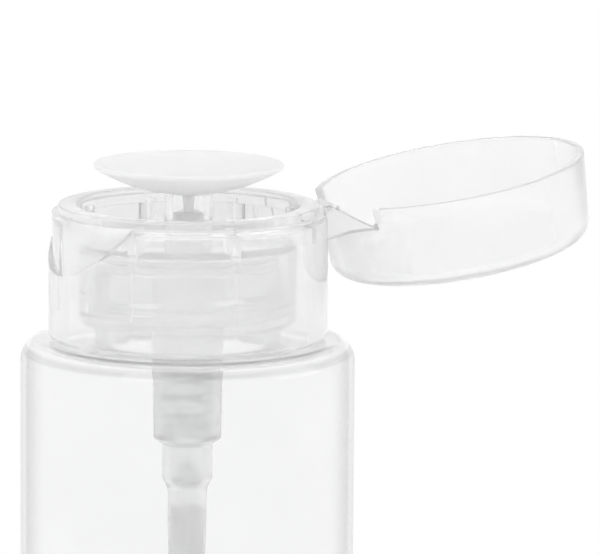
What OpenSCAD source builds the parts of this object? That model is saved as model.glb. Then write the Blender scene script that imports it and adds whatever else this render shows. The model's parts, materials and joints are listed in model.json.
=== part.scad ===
// Press-down dispenser bottle with a flip-top cap.
// Z points up and the origin is the centre of the face that the bottle stands on.
// The hinge of the lid points along +X, and the lid is drawn lying open.

/* [Bottle] */
// Outer diameter of the bottle's body
bottle_d = 55.2; // [50:0.1:70]
// Height of the shoulder above the surface that the bottle stands on
shoulder_z = 101.7; // [85:0.1:140]
// Thickness of the bottle's wall
bottle_wall = 0.9; // [0.6:0.1:1.4]
// Radius of the rounded shoulder corner
shoulder_r = 3.6; // [2:0.1:5]
// Radius of the rounded corner at the foot
foot_r = 4; // [2:0.1:6]
// Width of the flat ring that the bottle stands on
foot_w = 2.4; // [1.5:0.1:4]
// Height of the domed push-up in the base
pushup_h = 3.2; // [1:0.1:5]

/* [Neck] */
// Outer diameter of the neck
neck_d = 30.4; // [28:0.1:32]
// Thickness of the neck's wall
neck_wall = 2.2; // [1.4:0.1:2.6]
// Height of the neck above the shoulder
neck_h = 12.7; // [11:0.1:16]
// Radius of the fillet between neck and shoulder
neck_fillet = 1.2; // [0.6:0.1:1.6]
// Depth of the screw thread that the closure leaves room for
thread_h = 0.95; // [0.6:0.05:1.2]
// Play between the thread and the closure's skirt
thread_gap = 0.35; // [0.2:0.05:0.5]

/* [Gasket] */
// Thickness of the sealing ring on the neck
gasket_t = 1.3; // [0.8:0.1:2]
// Distance that the sealing ring stays inside the neck's outer edge
gasket_inset = 0.3; // [0:0.1:0.8]

/* [Screw closure] */
// Thickness of the closure's skirt
closure_wall = 1.4; // [1:0.1:1.8]
// Thickness of the closure's top plate
closure_top = 1.3; // [0.9:0.1:2]
// Gap between the closure's skirt and the shoulder
closure_foot_gap = 3.3; // [2:0.1:5]
// Taper of the closure's skirt, from top to bottom, in radius
closure_taper = 0.15; // [0:0.05:0.3]
// Radius of the closure's upper corner
closure_corner = 1; // [0.4:0.1:1.3]
// Chamfer at the closure's lower corner
closure_chamfer = 0.9; // [0.3:0.1:1.1]

/* [Outer shell] */
// Outer diameter of the shell and of the lid's rim
shell_d = 46; // [42:0.1:50]
// Thickness of the shell's wall
shell_wall = 1.4; // [1.1:0.1:1.8]
// Gap between the shell's lower edge and the bottle's shoulder
shell_foot_gap = 0.3; // [0.2:0.1:1]
// Depth of the dish's well, from the top ring down to the closure
well_depth = 5.5; // [5:0.1:9]
// Width of the ring's flat top face
ring_w = 3.1; // [2:0.1:3.4]
// Thickness of the top ring
ring_t = 2.5; // [2:0.1:3.5]
// Depth of the ledge that the lid closes on, below the ring's top
ledge_drop = 1.3; // [1:0.1:2]
// Chamfer along the shell's lower edge
shell_chamfer = 0.6; // [0.2:0.1:1]
// Number of locating ribs
rib_n = 8; // [4:1:12]
// Width of the short locating lugs
lug_w = 1.5; // [1:0.1:2.5]
// Distance from the ring's top to the lugs' upper ends
lug_drop = 1.5; // [0.8:0.1:2.4]
// Distance that the lugs reach into the well
lug_reach = 1; // [0.7:0.1:1.4]
// Thickness of the long locating ribs
rib_t = 0.8; // [0.5:0.1:1.2]

/* [Thumb recess] */
// Radius of the recess' outline
thumb_r = 18.9; // [14:0.1:20]
// Height of the recess below the ledge
thumb_h = 9.4; // [5:0.1:12]
// Depth of the recess at its upper edge
thumb_top = 0.5; // [0.3:0.05:0.6]
// Depth of the recess at its lowest point
thumb_low = 0.85; // [0.4:0.05:0.9]

/* [Lid] */
// Height of the lid
lid_h = 14.2; // [12.5:0.1:20]
// Thickness of the lid's side wall
lid_wall = 1.1; // [0.9:0.1:1.4]
// Thickness of the lid's top plate
lid_top = 1.3; // [0.8:0.1:2]
// Draft of the lid's wall, in radius
lid_draft = 1; // [0:0.1:1.2]
// Radius of the lid's outer corner
lid_corner = 3; // [2:0.1:4]
// Angle that the lid opens by
open_angle = 169.2; // [90:0.1:175]

/* [Hinge] */
// Distance of the fold line outside the shell's wall
fold_out = 0.4; // [0.35:0.05:0.8]
// Gap between the closed lid and its ledge
lid_gap = 0.3; // [0.2:0.05:0.5]
// Half the width of the middle strap
strap_half = 2.4; // [1.5:0.1:2.6]
// Depth of the middle strap's roots
strap_h = 1.7; // [1:0.1:2.5]
// Distance from the middle of the hinge to the point where a wing's folds meet
wing_apex = 2.9; // [2.7:0.1:4]
// Slope of the fold between wing and lid, along the hinge for each mm away from it
wing_lid_slope = 1.74; // [1.4:0.02:2]
// Slope of the fold between wing and shell
wing_shell_slope = 1.52; // [1.3:0.02:1.8]
// Angle between the fold plane on the closed lid and the horizontal
wing_lift = 41.8; // [35:0.1:50]
// Distance of the wing's lid corner from the fold line
wing_lid_reach = 5.4; // [4:0.1:6.5]
// Distance of the wing's shell corner from the fold line
wing_shell_reach = 5.25; // [4:0.05:6]
// Distance from the fold line at which the wing's shell side starts
wing_start = 1.2; // [0.9:0.1:2]
// Distance from the fold line at which the wing's lid side starts
wing_lid_start = 0.9; // [0.8:0.1:1.6]
// Thickness of a wing
wing_t = 0.6; // [0.4:0.05:0.8]
// Hollow of the wing's free edge
wing_hollow = 0.9; // [0.3:0.1:1.6]
// Play round a wing
wing_gap = 0.3; // [0.2:0.05:0.4]
// Play between a wing and the lid, as a share of the play round it
fold_play = 1.6; // [1.3:0.1:2]
// Thickness of the pad inside the shell, behind the hinge
pad_t = 0.8; // [0.5:0.1:1]
// Half the angle that the pad covers
pad_half = 36; // [32:1:50]
// Height of the pad below the ring
pad_h = 6.5; // [5.5:0.1:9]
// Half the width of the pad's rounded tongue
tongue_half = 5.4; // [3:0.1:7]
// Height of the tongue below the ring
tongue_h = 12; // [10:0.1:16]

/* [Press dish] */
// Diameter of the dish
dish_d = 31.3; // [26:0.1:33]
// Height of the dish's rim above the shell's ring
dish_rise = 6.75; // [6:0.05:9]
// Depth of the dish's underside, from its rim to the stem
dish_depth = 4.65; // [3.5:0.05:5]
// Thickness of the dish
dish_t = 1.25; // [0.9:0.05:1.6]
// Radius of the dish's rounded rim
dish_rim_r = 0.7; // [0.4:0.05:0.9]
// Diameter of the stem
stem_d = 7.9; // [7:0.1:8.6]
// Bore of the stem
stem_bore = 5.2; // [4.4:0.1:5.8]
// Length of the stem below the dish
stem_l = 14; // [12:0.1:18]
// Diameter of the pin inside the stem, at its root
pin_d = 2; // [1.2:0.1:2.4]
// Diameter of the pin at its tip
pin_tip = 1.45; // [0.8:0.05:1.8]
// Length of the pin below the dish
pin_l = 3.2; // [2.4:0.1:3.6]
// Number of outlet holes in the dish
outlet_n = 4; // [3:1:6]
// Diameter of the outlet holes
outlet_d = 0.9; // [0.6:0.1:1]
// Distance that the dish travels
stroke = 5.2; // [4:0.1:5.4]

/* [Piston rod] */
// Depth of the rod's upper end below the shell's ring
rod_drop = 1; // [0.6:0.1:1.4]
// Bore of the rod's upper chamber
rod_bore = 3.1; // [2.8:0.1:3.4]
// Bore of the rod below the outlet ball
rod_channel = 1.7; // [1.2:0.1:2]
// Depth of the outlet ball's chamber
chamber_h = 4; // [3.6:0.1:5]
// Diameter of the outlet ball
outlet_ball_d = 2.6; // [2.2:0.1:2.7]
// Diameter of the collar that lifts the piston
collar_d = 7.6; // [7:0.1:8.4]
// Thickness of the collar
collar_t = 1.2; // [0.8:0.1:2]

/* [Piston] */
// Height of the piston
piston_h = 5; // [4:0.1:6]
// Play between the piston and its bore
piston_gap = 0.1; // [0.05:0.01:0.2]
// Thickness of the piston's sealing lips
lip_t = 0.7; // [0.5:0.05:1]
// Play between pieces that are pressed together
fit_gap = 0.04; // [0.02:0.01:0.08]
// Play between the moving stem and what guides it
slide_gap = 0.2; // [0.1:0.05:0.4]

/* [Pump housing] */
// Diameter of the housing under its flange
housing_d = 12.3; // [11.4:0.1:14]
// Diameter of the housing at its lower shoulder
housing_low_d = 11.2; // [10.6:0.1:12.4]
// Thickness of the housing's flange
flange_t = 1.4; // [1:0.1:2]
// Travel left in the spring when the dish is pressed right down
spring_spare = 1.75; // [0.6:0.05:3]
// Bore that the piston runs in
barrel_bore = 9.6; // [9:0.1:10]
// Diameter of the valve chamber's outside
valve_d = 8.4; // [7.6:0.1:9.4]
// Length of the valve chamber
valve_l = 6.8; // [6:0.1:9]
// Bore of the valve chamber
valve_bore = 5.2; // [4.8:0.1:5.8]
// Diameter of the tail at its upper end
tail_d = 6.7; // [6.4:0.1:7.6]
// Diameter of the tail at its lower end
tail_low_d = 6.2; // [6.1:0.1:7]
// Length of the tail
tail_l = 11.75; // [10.5:0.05:16]
// Bore through the seat of the inlet ball
seat_bore = 2.6; // [2:0.1:3]

/* [Stem guide] */
// Length of the guide that is pressed into the housing
guide_l = 12.6; // [11:0.1:14]
// Diameter of the guide's flange
guide_flange_d = 15; // [13.5:0.1:18]
// Thickness of the guide's flange
guide_flange_t = 0.7; // [0.5:0.1:0.9]
// Thickness of the guide's wall
guide_wall = 1.1; // [0.8:0.05:1.2]

/* [Valve and spring] */
// Diameter of the inlet ball
inlet_ball_d = 4; // [3.4:0.1:4.4]
// Distance that the inlet ball can lift
ball_lift = 1.2; // [0.6:0.1:2]
// Diameter of the spring's wire
wire_d = 0.8; // [0.5:0.05:1]
// Mean diameter of the spring
spring_d = 7.8; // [7.2:0.1:8]
// Number of turns in the spring
spring_turns = 5; // [4:1:6]

/* [Dip tube] */
// Outer diameter of the dip tube
tube_d = 5; // [4:0.1:5.2]
// Thickness of the dip tube's wall
tube_wall = 0.7; // [0.5:0.1:1]
// Length of the tube inside the housing's tail
tube_seat = 9; // [6:0.1:10]
// Gap between the tube's lower end and the bottle's base
tube_gap = 2.5; // [1:0.1:6]

/* [Hidden] */
$fn = 96;
eps = 0.01;

// Small fixed gaps, chamfers and reaches
plate_gap = 0.1;
collar_gap = 0.3;
spring_gap = 0.4;
ball_gap = 0.02;
lug_gap = 0.05;
rib_gap = 0.15;
ring_gap = 0.4;
edge = 0.3;
rim_edge = 0.25;
neck_edge = 0.4;
root = 0.5;
cut_out = 6;
cut_in = 3;
barrel_floor = 0.8;
snap_reach = 0.35;
snap_h = 0.4;
rod_tip = 1.2;

// Sealing lips of the piston: how far they flare, how high they are, and the waist between them
lip_edge = 0.3;
lip_dip = 0.2;
lip_root = 0.6;
lip_flare = 0.4;
lip_h = 1.7;
waist = 0.5;
waist_h = 2.1;

// Heights of the stack above the neck
neck_top = shoulder_z + neck_h;
flange_z = neck_top + gasket_t;
flange_top = flange_z + flange_t;
plate_z = flange_top + plate_gap;
closure_z = plate_z + closure_top;
closure_foot = shoulder_z + closure_foot_gap;
ring_z = closure_z + well_depth;
ledge_z = ring_z - ledge_drop;
shell_foot = shoulder_z + shell_foot_gap;

// Radii
bottle_r = bottle_d / 2;
neck_r = neck_d / 2;
neck_in = neck_r - neck_wall;
skirt_in = neck_r + thread_h + thread_gap;
closure_r = skirt_in + closure_wall;
shell_r = shell_d / 2;
shell_in = shell_r - shell_wall;
lid_in = shell_r - lid_wall;
ring_r = lid_in - ring_gap;
well_r = ring_r - ring_w;
stem_r = stem_d / 2;

// Hinge
fold_x = shell_r + fold_out;
fold_z = ledge_z + lid_gap / 2;
lid_rim = ledge_z + lid_gap;

// Pump
guide_in = stem_r + slide_gap;
guide_out = guide_in + guide_wall;
guide_foot = flange_top - guide_l;
dish_foot = ring_z + dish_rise - dish_depth;
stem_foot = dish_foot - stem_l;
rod_top = ring_z - rod_drop;
collar_z = guide_foot - collar_gap;
piston_z = collar_z - collar_t;
piston_foot = piston_z - piston_h;
ball_seat_z = rod_top - chamber_h;
spring_top = piston_foot - spring_gap;
spring_solid = (spring_turns + 1) * wire_d;
spring_foot = spring_top - stroke - spring_spare - spring_solid;
barrel_foot = spring_foot - plate_gap - barrel_floor;
barrel_low = barrel_foot - (housing_low_d - valve_d) / 3;
valve_foot = barrel_low - valve_l + 1;
tail_top = valve_foot - (valve_d - tail_d);
tail_foot = tail_top - tail_l;
tube_top = tail_foot + tube_seat;

// Inlet valve: the ball rests in a cone, and a snap ring above it ends its lift
inlet_r = inlet_ball_d / 2;
cone_h = 1.4;
cone_foot = valve_foot - 0.8;
cone_slope = atan2((valve_bore - seat_bore) / 2, cone_h);
inlet_z = cone_foot - seat_bore / 2 / tan(cone_slope) + inlet_r / sin(cone_slope) + ball_gap;
snap_r = inlet_r - snap_reach;
snap_z = inlet_z + ball_lift + perch(inlet_r, snap_r);

// Points along an arc about c, from angle a0 to a1
function arc(c, r, a0, a1, n = 8) =
    [for (i = [0:n]) c + r * [cos(a0 + (a1 - a0) * i / n), sin(a0 + (a1 - a0) * i / n)]];

function unit(v) = v / norm(v);

// Height of a ball's centre above the edge of the round seat that it rests on
function perch(ball_r, seat_r) = sqrt(ball_r * ball_r - seat_r * seat_r);

// A blown bottle: its outside, its inside and the neck's bore
module bottle() {
    base_r = bottle_r - foot_r;
    dome_r = base_r - foot_w;
    t = bottle_wall;
    outside = concat(
        [[0, pushup_h]],
        [for (i = [1:8]) [dome_r * i / 8, pushup_h * (1 - pow(i / 8, 2))]],
        arc([base_r, foot_r], foot_r, -90, 0),
        arc([bottle_r - shoulder_r, shoulder_z - shoulder_r], shoulder_r, 0, 90),
        arc([neck_r + neck_fillet, shoulder_z + neck_fillet], neck_fillet, 270, 180, 5),
        [[neck_r, neck_top - neck_edge], [neck_r - neck_edge, neck_top], [0, neck_top]]);
    inside = concat(
        [[0, pushup_h + t]],
        [for (i = [1:8]) [dome_r * i / 8, t + pushup_h * (1 - pow(i / 8, 2))]],
        arc([base_r, foot_r], foot_r - t, -90, 0),
        arc([bottle_r - shoulder_r, shoulder_z - shoulder_r], shoulder_r - t, 0, 90),
        [[neck_in, shoulder_z - t], [0, shoulder_z - t]]);
    color([0.93, 0.95, 0.96, 0.35]) difference() {
        rotate_extrude() polygon(outside);
        rotate_extrude() polygon(inside);
        translate([0, 0, shoulder_z - t - eps]) cylinder(r = neck_in, h = neck_h + t + 1);
    }
}

// Flat sealing ring between the neck and the housing's flange
module gasket() {
    color([0.9, 0.9, 0.9]) translate([0, 0, neck_top]) difference() {
        cylinder(r = neck_r - gasket_inset, h = gasket_t);
        translate([0, 0, -1]) cylinder(d = housing_d + 2 * slide_gap, h = gasket_t + 2);
    }
}

// Inner closure that screws onto the neck and clamps the pump's flange
module screw_closure() {
    foot_radius = closure_r - closure_taper;
    profile = concat(
        [[guide_in + edge, plate_z], [skirt_in - root, plate_z], [skirt_in, plate_z - root],
         [skirt_in - closure_taper, closure_foot]],
        [[foot_radius - closure_chamfer, closure_foot], [foot_radius, closure_foot + closure_chamfer]],
        arc([closure_r - closure_corner, closure_z - closure_corner], closure_corner, 0, 90, 5),
        [[guide_in + edge, closure_z]]);
    color([0.87, 0.88, 0.89, 0.8]) rotate_extrude() polygon(profile);
}

// Local axes of a wing on the closed cap: X along the shell's fold, Z towards the cap's inside
lid_fold_angle = 180 - wing_lift;
shell_fold_angle = lid_fold_angle - open_angle / 2 + 180;
fold_lid = [cos(lid_fold_angle), -wing_lid_slope, sin(lid_fold_angle)];
fold_shell = [cos(shell_fold_angle), -wing_shell_slope, sin(shell_fold_angle)];
fold_lid_open = [cos(lid_fold_angle - open_angle), -wing_lid_slope, sin(lid_fold_angle - open_angle)];
wing_x = unit(fold_shell);
wing_z = unit(cross(fold_shell, fold_lid));
wing_y = cross(wing_z, wing_x);
wing_apex_point = [fold_x, -wing_apex, fold_z];
// Angle between the wing's two folds, and the angle that the wing turns by when the lid opens
wing_angle = atan2(fold_lid * wing_y, fold_lid * wing_x);
wing_turn = atan2(fold_lid_open * wing_z, fold_lid_open * wing_y);

module in_wing_axes() {
    translate(wing_apex_point) multmatrix([
        [wing_x.x, wing_y.x, wing_z.x, 0],
        [wing_x.y, wing_y.y, wing_z.y, 0],
        [wing_x.z, wing_y.z, wing_z.z, 0],
        [0, 0, 0, 1]]) children();
}

// Outline of a wing between its folds: play is added at its edges, and more where the lid folds over it
module wing_outline(play = 0, hollow = wing_hollow) {
    along = [cos(wing_angle), sin(wing_angle)];
    across = [-sin(wing_angle), cos(wing_angle)];
    shell_corner = [wing_shell_reach * norm(fold_shell), 0];
    lid_corner_at = wing_lid_reach * norm(fold_lid) * along;
    middle = (shell_corner + lid_corner_at) / 2 - [hollow, 0];
    near = wing_start * norm(fold_shell);
    near_lid = wing_lid_start * norm(fold_lid);
    polygon([
        [near - play, -play],
        shell_corner + [play, -play],
        middle + [play, 0],
        lid_corner_at + play * (fold_play * across + along),
        (near_lid - play) * along + fold_play * play * across]);
}

// Room that a wing needs in the closed cap, cut in from the outside to a depth below its middle
module wing_room(depth) {
    in_wing_axes() translate([0, 0, -cut_out])
        linear_extrude(height = cut_out + depth) wing_outline(wing_gap, 0);
}

// Wing that snaps the lid open or shut, turned to where it lies beside the open lid
module hinge_wing() {
    in_wing_axes() rotate([wing_turn, 0, 0]) translate([0, 0, -wing_t / 2])
        linear_extrude(height = wing_t) wing_outline();
}

module front_hinge_wing() {
    color([0.8, 0.81, 0.82, 0.9]) hinge_wing();
}

module rear_hinge_wing() {
    color([0.8, 0.81, 0.82, 0.9]) mirror([0, 1, 0]) hinge_wing();
}

// Root of the hinge's middle strap, from the wall out to just short of the fold
module strap_root(z0, h) {
    start = shell_in + edge;
    translate([start, -strap_half, z0])
        cube([fold_x - lid_gap / 2 - start, 2 * strap_half, h]);
}

// Thumb recess opposite the hinge: a round outline cut into the wall
module thumb_cut() {
    intersection() {
        translate([-shell_in + 2, 0, ledge_z - thumb_h + thumb_r]) rotate([0, -90, 0])
            cylinder(r = thumb_r, h = 10);
        difference() {
            translate([0, 0, ledge_z - thumb_h - 1]) cylinder(r = shell_r + 2, h = thumb_h + 1 + ledge_drop);
            translate([0, 0, ledge_z - thumb_h - 2])
                cylinder(r1 = shell_r - thumb_low, r2 = shell_r - thumb_top, h = thumb_h + 4 + ledge_drop);
        }
    }
}

// Pad behind the hinge, with a rounded tongue below it
module hinge_pad() {
    intersection() {
        translate([0, 0, shell_foot + 1]) difference() {
            cylinder(r = shell_in + root, h = ring_z - shell_foot - 2);
            translate([0, 0, -1]) cylinder(r = shell_in - pad_t, h = ring_z - shell_foot);
        }
        union() {
            translate([0, 0, ring_z - ring_t - pad_h]) rotate([0, 0, -pad_half])
                rotate_extrude(angle = 2 * pad_half) square([shell_r, pad_h + 1]);
            translate([0, 0, ring_z - ring_t - tongue_h + tongue_half]) {
                rotate([0, 90, 0]) cylinder(r = tongue_half, h = shell_r);
                translate([0, -tongue_half, 0]) cube([shell_r, 2 * tongue_half, tongue_h - tongue_half]);
            }
        }
    }
}

// Outer shell: wall, stepped top ring, locating ribs, thumb recess and hinge roots
module cap_shell() {
    profile = [
        [shell_in, shell_foot], [shell_r - shell_chamfer, shell_foot],
        [shell_r, shell_foot + shell_chamfer], [shell_r, ledge_z], [ring_r, ledge_z],
        [ring_r, ring_z - edge], [ring_r - edge, ring_z], [well_r + edge, ring_z],
        [well_r, ring_z - edge], [well_r, ring_z - ring_t], [shell_in, ring_z - ring_t]];
    lug_foot = closure_z + lug_gap;
    rib_in = closure_r + rib_gap;
    color([0.92, 0.93, 0.94, 0.7]) {
        difference() {
            union() {
                rotate_extrude() polygon(profile);
                hinge_pad();
            }
            thumb_cut();
            wing_room(wing_t / 2 + wing_gap);
            mirror([0, 1, 0]) wing_room(wing_t / 2 + wing_gap);
        }
        strap_root(ledge_z - strap_h, strap_h);
        for (i = [0:rib_n - 1]) rotate([0, 0, 360 * i / rib_n]) {
            translate([well_r - lug_reach, -lug_w / 2, lug_foot])
                cube([lug_reach + 1, lug_w, ring_z - lug_drop - lug_foot]);
            translate([rib_in, -rib_t / 2, closure_foot])
                cube([shell_in + root - rib_in, rib_t, ring_z - ring_t + root - closure_foot]);
        }
    }
}

// The lid as it lies when closed
module closed_lid() {
    top_z = lid_rim + lid_h;
    low_r = shell_r - lid_draft;
    t = lid_wall;
    outside = concat(
        [[0, lid_rim], [shell_r - rim_edge, lid_rim], [shell_r, lid_rim + rim_edge]],
        arc([low_r - lid_corner, top_z - lid_corner], lid_corner, 0, 90),
        [[0, top_z]]);
    inside = concat(
        [[0, lid_rim - 1], [lid_in, lid_rim - 1], [lid_in, lid_rim]],
        arc([low_r - lid_corner, top_z - lid_corner], lid_corner - t, 0, 90),
        [[0, top_z - lid_top]]);
    difference() {
        rotate_extrude() polygon(outside);
        rotate_extrude() polygon(inside);
        for (side = [0, 1]) mirror([0, side, 0]) {
            wing_room(cut_in);
            notch_end();
        }
    }
    strap_root(lid_rim, strap_h);
}

// Upright end of the notch beside a wing
module notch_end() {
    reach = wing_lid_reach;
    corner = wing_apex_point + reach * fold_lid;
    inner = wing_apex_point + 0.75 * reach * fold_lid;
    translate([0, corner.y - wing_gap, lid_rim - 1])
        cube([shell_r + 2, inner.y - corner.y + wing_gap, 1 + (inner.z - lid_rim)]);
}

// Flip-top lid, turned open about the fold line
module lid() {
    color([0.93, 0.94, 0.95, 0.55]) translate([fold_x, 0, fold_z]) rotate([0, open_angle, 0])
        translate([-fold_x, 0, -fold_z]) closed_lid();
}

// Press dish with its hollow stem, the pin inside it and the outlet holes round the pin
module press_dish() {
    rim_r = dish_d / 2;
    top_z = dish_foot + dish_depth;
    low = dish_depth - 2 * dish_rim_r;
    bow = [for (i = [0:8]) [stem_r + (rim_r - dish_rim_r - stem_r) * i / 8, low * pow(i / 8, 1.7)]];
    underside = [for (p = bow) [p.x, dish_foot + p.y]];
    top = [for (i = [8:-1:0]) [min(bow[i].x, rim_r - 1.6 * dish_rim_r), dish_foot + dish_t + bow[i].y * 1.04]];
    profile = concat(
        [[0, dish_foot]],
        underside,
        arc([rim_r - dish_rim_r, top_z - dish_rim_r], dish_rim_r, -60, 110, 7),
        top,
        [[0, dish_foot + dish_t]]);
    color([0.9, 0.91, 0.92, 0.85]) {
        difference() {
            rotate_extrude() polygon(profile);
            for (i = [0:outlet_n - 1]) rotate([0, 0, 360 * (i + 0.5) / outlet_n])
                translate([(stem_bore + pin_d) / 4, 0, dish_foot - 1]) cylinder(d = outlet_d, h = dish_t + 2);
        }
        translate([0, 0, stem_foot]) difference() {
            cylinder(r = stem_r, h = stem_l + 0.2);
            translate([0, 0, -1]) cylinder(d = stem_bore, h = stem_l + 1);
        }
        translate([0, 0, dish_foot - pin_l]) cylinder(d1 = pin_tip, d2 = pin_d, h = pin_l + 0.2);
    }
}

// Hollow rod that is pressed into the stem and carries the piston
module piston_rod() {
    rod_r = stem_bore / 2 - fit_gap;
    rod_foot = piston_foot - rod_tip;
    color([0.86, 0.87, 0.88, 0.9]) difference() {
        union() {
            translate([0, 0, rod_foot]) cylinder(r = rod_r, h = rod_top - rod_foot);
            translate([0, 0, piston_z]) cylinder(d = collar_d, h = collar_t);
        }
        translate([0, 0, ball_seat_z]) cylinder(d = rod_bore, h = chamber_h + 1);
        translate([0, 0, rod_foot - 1]) cylinder(d = rod_channel, h = rod_top - rod_foot);
    }
}

// Soft piston: a sleeve with a sealing lip at each end
module piston() {
    seal_r = barrel_bore / 2 - piston_gap;
    sleeve_r = stem_bore / 2;
    body_r = sleeve_r + lip_t;
    profile = [
        [sleeve_r, piston_foot], [body_r, piston_foot + lip_root],
        [seal_r - lip_edge, piston_foot - lip_dip], [seal_r, piston_foot],
        [seal_r - lip_flare, piston_foot + lip_h], [body_r + waist, piston_foot + waist_h],
        [body_r + waist, piston_z - waist_h], [seal_r - lip_flare, piston_z - lip_h],
        [seal_r, piston_z - lip_dip], [seal_r - lip_edge, piston_z],
        [body_r, piston_z - lip_root], [sleeve_r, piston_z]];
    color([0.95, 0.95, 0.93]) rotate_extrude() polygon(profile);
}

// Small ball that closes the rod's channel
module outlet_ball() {
    r = outlet_ball_d / 2;
    color([0.75, 0.76, 0.78]) translate([0, 0, ball_seat_z + perch(r, rod_channel / 2) + ball_gap]) sphere(r = r);
}

// Guide that is pressed into the housing and holds the stem upright
module stem_guide() {
    color([0.9, 0.91, 0.92]) difference() {
        union() {
            translate([0, 0, guide_foot]) cylinder(r = guide_out, h = guide_l);
            translate([0, 0, flange_top - guide_flange_t]) cylinder(d = guide_flange_d, h = guide_flange_t);
        }
        translate([0, 0, guide_foot - 1]) cylinder(r = guide_in, h = guide_l + 2);
    }
}

// Pump housing: flange, barrel, valve chamber and tail in one moulding
module pump_housing() {
    flange_r = neck_r - gasket_inset;
    tail_r = tail_low_d / 2;
    outside = [
        [0, tail_foot], [tail_r - edge, tail_foot], [tail_r, tail_foot + edge], [tail_d / 2, tail_top],
        [valve_d / 2, valve_foot], [valve_d / 2, barrel_low], [housing_low_d / 2, barrel_foot],
        [housing_d / 2, flange_z], [flange_r, flange_z], [flange_r, flange_top], [0, flange_top]];
    snap_ring = [
        [valve_bore / 2 + edge, snap_z], [snap_r, snap_z], [snap_r, snap_z + snap_h],
        [valve_bore / 2 + edge, snap_z + snap_h + root]];
    color([0.82, 0.83, 0.84, 0.9]) {
        rotate_extrude() polygon(snap_ring);
        difference() {
            rotate_extrude() polygon(outside);
            // The barrel, the wider bore for the guide and the recess for its flange
            translate([0, 0, barrel_foot + barrel_floor])
                cylinder(d = barrel_bore, h = flange_top - barrel_foot);
            translate([0, 0, guide_foot - fit_gap]) cylinder(r = guide_out + fit_gap, h = guide_l + 1);
            translate([0, 0, flange_top - guide_flange_t - fit_gap])
                cylinder(d = guide_flange_d + 2 * fit_gap, h = guide_flange_t + 1);
            // The valve chamber, the cone of its seat, and the bore that holds the dip tube
            translate([0, 0, cone_foot + cone_h])
                cylinder(d = valve_bore, h = barrel_foot - valve_foot + 1);
            translate([0, 0, cone_foot]) cylinder(d1 = seat_bore, d2 = valve_bore, h = cone_h + eps);
            translate([0, 0, tail_foot - 1]) cylinder(d = seat_bore, h = valve_foot - tail_foot + 1);
            translate([0, 0, tail_foot - 1])
                cylinder(d = tube_d + 2 * fit_gap, h = tube_seat + 1 + fit_gap);
        }
    }
}

// Coil spring: a closed sweep of the wire's round section
module return_spring() {
    steps = 16 * spring_turns;
    sides = 8;
    rise = spring_top - spring_foot - wire_d;
    points = [for (i = [0:steps]) for (j = [0:sides - 1])
        let (a = 360 * spring_turns * i / steps, b = 360 * j / sides,
             r = spring_d / 2 + wire_d / 2 * cos(b))
        [r * cos(a), r * sin(a), spring_foot + wire_d / 2 + rise * i / steps + wire_d / 2 * sin(b)]];
    walls = [for (i = [0:steps - 1]) for (j = [0:sides - 1])
        let (k = (j + 1) % sides)
        [i * sides + j, i * sides + k, (i + 1) * sides + k, (i + 1) * sides + j]];
    start = [for (j = [sides - 1:-1:0]) j];
    end = [for (j = [0:sides - 1]) steps * sides + j];
    color([0.7, 0.71, 0.73]) polyhedron(points, concat(walls, [start], [end]), convexity = 8);
}

// Ball that closes the inlet
module inlet_ball() {
    color([0.75, 0.76, 0.78]) translate([0, 0, inlet_z]) sphere(r = inlet_r);
}

// Dip tube, from the housing's tail down to the bottle's base
module dip_tube() {
    foot = pushup_h + bottle_wall + tube_gap;
    color([0.93, 0.94, 0.95, 0.7]) translate([0, 0, foot]) difference() {
        cylinder(d = tube_d, h = tube_top - foot);
        translate([0, 0, -1]) cylinder(d = tube_d - 2 * tube_wall, h = tube_top - foot + 2);
    }
}

bottle();
gasket();
screw_closure();
cap_shell();
front_hinge_wing();
rear_hinge_wing();
lid();
press_dish();
piston_rod();
piston();
outlet_ball();
stem_guide();
pump_housing();
return_spring();
inlet_ball();
dip_tube();
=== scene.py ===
import json
import math
from types import SimpleNamespace

import bmesh
import bpy
from bpy.props import FloatProperty, FloatVectorProperty, IntProperty, PointerProperty
from bpy.types import Operator, Panel, PropertyGroup
from mathutils import Matrix, Vector

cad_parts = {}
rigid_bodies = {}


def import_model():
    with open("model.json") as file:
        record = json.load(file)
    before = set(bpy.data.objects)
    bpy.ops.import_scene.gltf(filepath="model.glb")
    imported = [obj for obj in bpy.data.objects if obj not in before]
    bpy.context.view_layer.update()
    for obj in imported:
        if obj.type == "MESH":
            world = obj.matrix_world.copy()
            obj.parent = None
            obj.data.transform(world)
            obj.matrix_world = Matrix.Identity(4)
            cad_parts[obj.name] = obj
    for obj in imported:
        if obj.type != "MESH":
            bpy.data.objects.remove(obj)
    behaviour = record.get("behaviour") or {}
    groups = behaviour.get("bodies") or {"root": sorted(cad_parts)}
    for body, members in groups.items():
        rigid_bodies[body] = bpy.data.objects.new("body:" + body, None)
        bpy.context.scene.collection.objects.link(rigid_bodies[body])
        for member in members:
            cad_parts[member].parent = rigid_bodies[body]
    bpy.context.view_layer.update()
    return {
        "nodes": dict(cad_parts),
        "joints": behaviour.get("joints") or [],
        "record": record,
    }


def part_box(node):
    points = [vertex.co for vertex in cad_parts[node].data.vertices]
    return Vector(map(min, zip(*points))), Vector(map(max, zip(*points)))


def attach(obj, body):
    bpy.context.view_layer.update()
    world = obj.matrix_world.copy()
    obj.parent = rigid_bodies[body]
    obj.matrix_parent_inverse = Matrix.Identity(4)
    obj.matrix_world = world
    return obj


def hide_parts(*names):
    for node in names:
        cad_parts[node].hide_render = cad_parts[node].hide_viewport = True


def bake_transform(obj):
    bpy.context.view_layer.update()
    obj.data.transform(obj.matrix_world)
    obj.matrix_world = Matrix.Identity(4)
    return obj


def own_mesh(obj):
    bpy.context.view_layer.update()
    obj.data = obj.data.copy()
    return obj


bl_info = {
    "name": "Press-down dispenser bottle",
    "version": (1, 0, 0),
    "blender": (4, 5, 0),
    "location": "View3D > Sidebar > Dispenser",
    "description": "Builds the looks of a press-down dispenser bottle round its packed parts",
    "category": "Object",
}

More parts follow.
